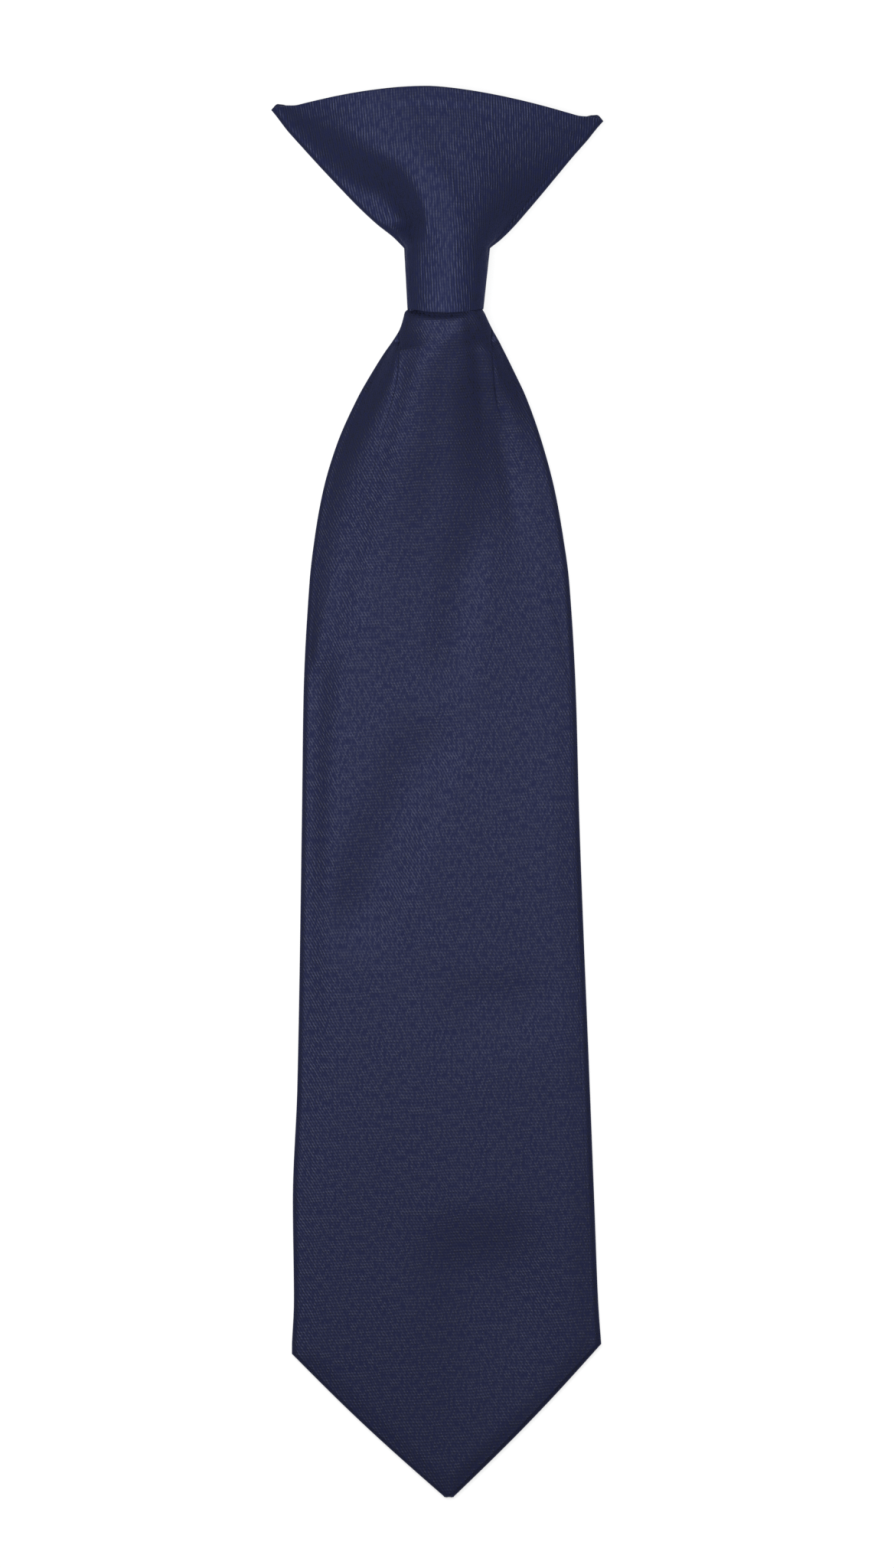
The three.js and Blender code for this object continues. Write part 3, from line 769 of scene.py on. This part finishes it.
def foot_dip(x, y, sides):
    """How far the neck lies below its full height under the band's edge, most at its middle and left."""
    foot = foot_y - FOOT_BOW * (1 - (2 * x / BAND_FOOT_WIDTH) ** 2)
    inside = min(x - sides[0]["start"], sides[1]["start"] - x)
    on_left = 1 - smooth((x - FOOT_DIP_PLACE) / FOOT_DIP_FADE)
    return FOOT_DIP * on_left * smooth(inside / FOOT_DIP_SIDE) * bell((foot - y) / FOOT_DIP_LENGTH)


def blade():
    gathered_y = blade_top_y - GATHERED * blade_length
    heights = spaced(tip_y, tip_y + TIP_ROUNDING, TIP_ROWS)
    heights += spaced(tip_y + TIP_ROUNDING, left_corner_y, POINT_ROWS)[1:]
    heights += [right_corner_y]
    heights += spaced(right_corner_y, gathered_y, PANEL_ROWS)[1:]
    heights += spaced(gathered_y, blade_top_y, GATHERED_ROWS)[1:]
    heights += spaced(blade_top_y, foot_y - BELOW_FOOT, FOOT_ROWS)[1:]
    heights += spaced(foot_y + ABOVE_FOOT, neck_top_y, NECK_ROWS)
    rows = [blade_row(y) for y in heights]
    rows[0] = [(x, y, TIP_FOLD) for x, y, _ in rows[0]]  # the front meets the back at the very tip
    start = INSIDE_STEPS + TURN_STEPS + BLADE_BACK_STEPS + 1 + FOLD_STEPS
    return cloth("blade_cloth", rows, start, False, BLADE_CLOTH)


# Stitches


def tube(vertices, faces, path, radius, sides=6):
    """Adds a round thread along a path, closed at both ends."""
    start = len(vertices)
    for i, point in enumerate(path):
        before = Vector(path[max(i - 1, 0)])
        after = Vector(path[min(i + 1, len(path) - 1)])
        turned = (after - before).to_track_quat("Z", "Y")
        for k in range(sides):
            angle = 2 * math.pi * k / sides
            offset = turned @ Vector((radius * math.cos(angle), radius * math.sin(angle), 0))
            vertices.append((Vector(point) + offset) * MM)
    for i in range(len(path) - 1):
        for k in range(sides):
            a = start + i * sides + k
            b = start + i * sides + (k + 1) % sides
            faces.append((a, b, b + sides, a + sides))
    faces.append([start + k for k in reversed(range(sides))])
    faces.append([len(vertices) - sides + k for k in range(sides)])


def back_stitches():
    """Slip stitches across the seam in the back, and a bar tack where the flaps part."""
    vertices = []
    faces = []
    seam_top_y = blade_top_y - SEAM_END * blade_length
    for n, y in enumerate(spaced(parting_y + STITCH_STEP, seam_top_y, STITCH_STEP)):
        lean = STITCH_LEAN if n % 2 else -STITCH_LEAN
        row = row_at(RELIEF_COLUMNS, RELIEF_ROWS, (blade_top_y - y) / blade_length)
        middle = (blade_edge(y, -1) + blade_edge(y, 1)) / 2
        z = row["back"] * (knot_back + NECK_INSET) + STITCH_HEIGHT * THREAD
        reach = SEAM_GAP / 2 + STITCH_REACH * TURN
        bend = (middle, y, z + STITCH_BEND)
        tube(vertices, faces, [(middle - reach, y - lean, z), bend, (middle + reach, y + lean, z)], THREAD)
    middle = (blade_edge(parting_y, -1) + blade_edge(parting_y, 1)) / 2
    for n in range(TACK_THREADS):
        y = parting_y - TACK_START + TACK_STEP * n * THREAD
        path = [(middle - TACK_REACH, y, THREAD + TACK_RISE)]
        path += [(middle - TACK_REACH + TACK_END, y, THREAD), (middle + TACK_REACH - TACK_END, y, THREAD)]
        path += [(middle + TACK_REACH, y, THREAD + TACK_RISE)]
        tube(vertices, faces, path, THREAD)
    mesh = bpy.data.meshes.new("back_stitches")
    mesh.from_pydata(vertices, [], faces)
    mesh.polygons.foreach_set("use_smooth", [True] * len(mesh.polygons))
    piece = bpy.data.objects.new("back_stitches", mesh)
    bpy.context.collection.objects.link(piece)
    return piece


# Materials


def new_material(name):
    material = bpy.data.materials.new(name)
    material.use_nodes = True
    tree = material.node_tree
    tree.nodes.clear()
    output = tree.nodes.new("ShaderNodeOutputMaterial")
    shader = tree.nodes.new("ShaderNodeBsdfPrincipled")
    tree.links.new(shader.outputs[0], output.inputs[0])
    return material, tree, shader


def calculate(tree, operation, *values):
    node = tree.nodes.new("ShaderNodeMath")
    node.operation = operation
    for socket, value in zip(node.inputs, values):
        if isinstance(value, (int, float)):
            socket.default_value = value
        else:
            tree.links.new(value, socket)
    return node.outputs[0]


def speckle(tree, place, scale, detail=2.0, stretch=(1.0, 1.0, 1.0)):
    mapping = tree.nodes.new("ShaderNodeMapping")
    mapping.inputs["Scale"].default_value = stretch
    tree.links.new(place, mapping.inputs["Vector"])
    texture = tree.nodes.new("ShaderNodeTexNoise")
    texture.inputs["Scale"].default_value = scale
    texture.inputs["Detail"].default_value = detail
    tree.links.new(mapping.outputs[0], texture.inputs["Vector"])
    return texture.outputs[0]


def threads(tree, u, v, degrees, spacing, wander):
    """A wave from 0 to 1 over parallel threads that lie so many degrees from the cloth's width."""
    angle = math.radians(degrees)
    across = calculate(tree, "MULTIPLY_ADD", u, math.sin(angle), wander)
    across = calculate(tree, "MULTIPLY_ADD", v, -math.cos(angle), across)
    wave = calculate(tree, "SINE", calculate(tree, "MULTIPLY", across, 2 * math.pi / (spacing * MM)))
    return calculate(tree, "MULTIPLY_ADD", wave, 0.5, 0.5)


def bumped(tree, shader, height, depth):
    bump = tree.nodes.new("ShaderNodeBump")
    bump.inputs["Distance"].default_value = depth * MM
    tree.links.new(height, bump.inputs["Height"])
    tree.links.new(bump.outputs[0], shader.inputs["Normal"])


# The colours of each satin's dull and glossy threads
KNOT_NAVY = ((0.0135, 0.0168, 0.056, 1.0), (0.033, 0.0375, 0.07, 1.0))
BLADE_NAVY = ((0.014, 0.0168, 0.053, 1.0), (0.034, 0.0375, 0.066, 1.0))
EDGE_TINT = (0.35, 0.38, 0.6, 1.0)

# The satin's weave
WANDER = 0.0011  # how far the threads wander, in metres
WANDER_SCALE = 110.0
WEFT_ANGLE = 3
WEFT_SPACING = 0.8
SLUB_STRETCH = (1.0, 0.35, 1.0)
SLUB_CONTRAST = 4.5
SLUB_LEVEL = -1.75
PATCH_SCALE = 160.0
PATCH_LIGHT = 0.25  # how much the patches add to the gloss
WEAVE_LIGHT = 1.1  # how much the threads add to it
LEAST_LIGHT = 0.05
PATCH_ROUGHNESS = 0.1
LEAST_ROUGHNESS = 0.5
WEAVE_DEPTH = 0.12

STEEL_MARKS = 0.16  # how much rougher grain and marks make the steel
STEEL_ROUGHNESS = 0.14


def satin(name, navy, rib_angle, rib_spacing, weft_share, slub_scale):
    """Navy satin whose ribs are broken by slubs, with a fine weft across them."""
    material, tree, shader = new_material(name)
    place = tree.nodes.new("ShaderNodeUVMap")
    place.uv_map = "cloth"
    place = place.outputs[0]
    split = tree.nodes.new("ShaderNodeSeparateXYZ")
    tree.links.new(place, split.inputs[0])
    u, v = split.outputs[0], split.outputs[1]
    wander = calculate(tree, "MULTIPLY", speckle(tree, place, WANDER_SCALE), WANDER)
    ribs = threads(tree, u, v, rib_angle, rib_spacing, wander)
    weft = threads(tree, u, v, WEFT_ANGLE, WEFT_SPACING, wander)
    slubs = speckle(tree, place, slub_scale, stretch=SLUB_STRETCH)
    patches = speckle(tree, place, PATCH_SCALE, detail=4.0)
    weave = calculate(tree, "MULTIPLY", ribs, 1 - weft_share)
    weave = calculate(tree, "MULTIPLY_ADD", weft, weft_share, weave)
    broken = calculate(tree, "MULTIPLY_ADD", slubs, SLUB_CONTRAST, SLUB_LEVEL)
    broken.node.use_clamp = True
    light = calculate(tree, "MULTIPLY", weave, broken)
    light = calculate(tree, "MULTIPLY_ADD", light, WEAVE_LIGHT, LEAST_LIGHT)
    light = calculate(tree, "MULTIPLY_ADD", patches, PATCH_LIGHT, light)
    light.node.use_clamp = True
    rough = calculate(tree, "MULTIPLY_ADD", patches, PATCH_ROUGHNESS, LEAST_ROUGHNESS)

    colour = tree.nodes.new("ShaderNodeMix")
    colour.data_type = "RGBA"
    colour.inputs[6].default_value, colour.inputs[7].default_value = navy
    tree.links.new(light, colour.inputs[0])
    tree.links.new(colour.outputs[2], shader.inputs["Base Color"])
    tree.links.new(light, shader.inputs["Metallic"])
    tree.links.new(rough, shader.inputs["Roughness"])
    shader.inputs["Specular IOR Level"].default_value = 0.05
    shader.inputs["Specular Tint"].default_value = EDGE_TINT
    bumped(tree, shader, calculate(tree, "MULTIPLY", weave, slubs), WEAVE_DEPTH)
    return material


def sewing_thread():
    material, tree, shader = new_material("sewing_thread")
    place = tree.nodes.new("ShaderNodeTexCoord").outputs["Object"]
    twist = speckle(tree, place, scale=2600.0)
    colour = tree.nodes.new("ShaderNodeMix")
    colour.data_type = "RGBA"
    colour.inputs[6].default_value, colour.inputs[7].default_value = BLADE_NAVY
    tree.links.new(twist, colour.inputs[0])
    tree.links.new(colour.outputs[2], shader.inputs["Base Color"])
    shader.inputs["Roughness"].default_value = 0.6
    bumped(tree, shader, twist, depth=0.05)
    return material


def bright_steel():
    material, tree, shader = new_material("bright_steel")
    place = tree.nodes.new("ShaderNodeTexCoord").outputs["Object"]
    grain = speckle(tree, place, scale=900.0, stretch=(0.06, 1.0, 1.0))
    marks = speckle(tree, place, scale=240.0, detail=6.0)
    shader.inputs["Base Color"].default_value = (0.62, 0.62, 0.63, 1.0)
    shader.inputs["Metallic"].default_value = 1.0
    rough = calculate(tree, "ADD", grain, marks)
    rough = calculate(tree, "MULTIPLY_ADD", rough, STEEL_MARKS, STEEL_ROUGHNESS)
    tree.links.new(rough, shader.inputs["Roughness"])
    bumped(tree, shader, grain, depth=0.02)
    return material


def pale_table():
    material, tree, shader = new_material("pale_table")
    place = tree.nodes.new("ShaderNodeTexCoord").outputs["Object"]
    shader.inputs["Base Color"].default_value = (0.3, 0.3, 0.3, 1.0)
    shader.inputs["Emission Color"].default_value = (1.0, 1.0, 1.0, 1.0)
    shader.inputs["Emission Strength"].default_value = TABLE_GLOW
    shader.inputs["Roughness"].default_value = 0.85
    shader.inputs["Specular IOR Level"].default_value = 0.1
    bumped(tree, shader, speckle(tree, place, scale=400.0), depth=0.02)
    return material


# Studio

CAMERA_HEIGHT = 2000.0
SHARP_HEIGHT = 6.0  # the height over the table at which the photograph's scale holds
SENSOR = 36.0
TABLE_HALF = 3000.0
TABLE_DROP = 0.1  # below the tie, so that no face of the cloth lies in the table's
KEY_PLACE = (-60.0, -50.0, 640.0)
KEY_WIDTH = 230.0
KEY_LENGTH = 380.0
KEY_POWER = 4.5
LIGHT_TARGET = (0.0, -60.0, 0.0)
WORLD_LIGHT = 0.1
TABLE_GLOW = 0.8  # keeps the shadows on the pale table faint, as in the photograph


def camera():
    data = bpy.data.cameras.new("camera")
    data.sensor_width = SENSOR
    data.lens = SENSOR * (CAMERA_HEIGHT - SHARP_HEIGHT) / (PHOTO_HEIGHT * PHOTO_SCALE)
    piece = bpy.data.objects.new("camera", data)
    x, y = over_photo((PHOTO_WIDTH / 2, PHOTO_HEIGHT / 2))
    piece.location = Vector((x, y, CAMERA_HEIGHT)) * MM
    bpy.context.collection.objects.link(piece)
    bpy.context.scene.camera = piece


def soft_light(name, place, width, length, power):
    data = bpy.data.lights.new(name, "AREA")
    data.shape = "RECTANGLE"
    data.size = width * MM
    data.size_y = length * MM
    data.energy = power
    light = bpy.data.objects.new(name, data)
    light.location = Vector(place) * MM
    light.rotation_euler = (Vector(LIGHT_TARGET) - Vector(place)).to_track_quat("-Z", "Y").to_euler()
    bpy.context.collection.objects.link(light)


def surroundings():
    scene = bpy.context.scene
    scene.view_settings.view_transform = "Standard"
    world = bpy.data.worlds.new("studio")
    world.use_nodes = True
    background = world.node_tree.nodes["Background"]
    background.inputs["Color"].default_value = (1.0, 1.0, 1.0, 1.0)
    background.inputs["Strength"].default_value = WORLD_LIGHT
    scene.world = world


def table():
    mesh = bpy.data.meshes.new("table")
    places = ((-1, -1), (1, -1), (1, 1), (-1, 1))
    corners = [(x * TABLE_HALF * MM, y * TABLE_HALF * MM, -TABLE_DROP * MM) for x, y in places]
    mesh.from_pydata(corners, [], [(0, 1, 2, 3)])
    piece = bpy.data.objects.new("table", mesh)
    bpy.context.collection.objects.link(piece)
    piece.data.materials.append(pale_table())


camera()
surroundings()
table()
soft_light("key", KEY_PLACE, KEY_WIDTH, KEY_LENGTH, KEY_POWER)


# The tie

CLIP_ROUNDING = 0.2


def carried(piece, material):
    piece.data.materials.append(material)
    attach(piece, "root")


blade_cloth = blade()
blade_satin = satin(
    "blade_satin", BLADE_NAVY, rib_angle=120, rib_spacing=0.65, weft_share=0.35, slub_scale=1600.0
)
carried(blade_cloth, blade_satin)
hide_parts("blade")
stitches = back_stitches()
carried(stitches, sewing_thread())

knot_cloth = knot_cover()
knot_satin = satin(
    "knot_satin", KNOT_NAVY, rib_angle=93, rib_spacing=0.68, weft_share=0.15, slub_scale=1300.0
)
carried(knot_cloth, knot_satin)
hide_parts("knot_cover")

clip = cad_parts["collar_clip"]
clip_edges = clip.modifiers.new("edges", "BEVEL")
clip_edges.width = CLIP_ROUNDING * MM
clip_edges.segments = ROUNDING_STEPS
clip_edges.limit_method = "ANGLE"
steel = bright_steel()
for slot in clip.material_slots:
    slot.material = steel
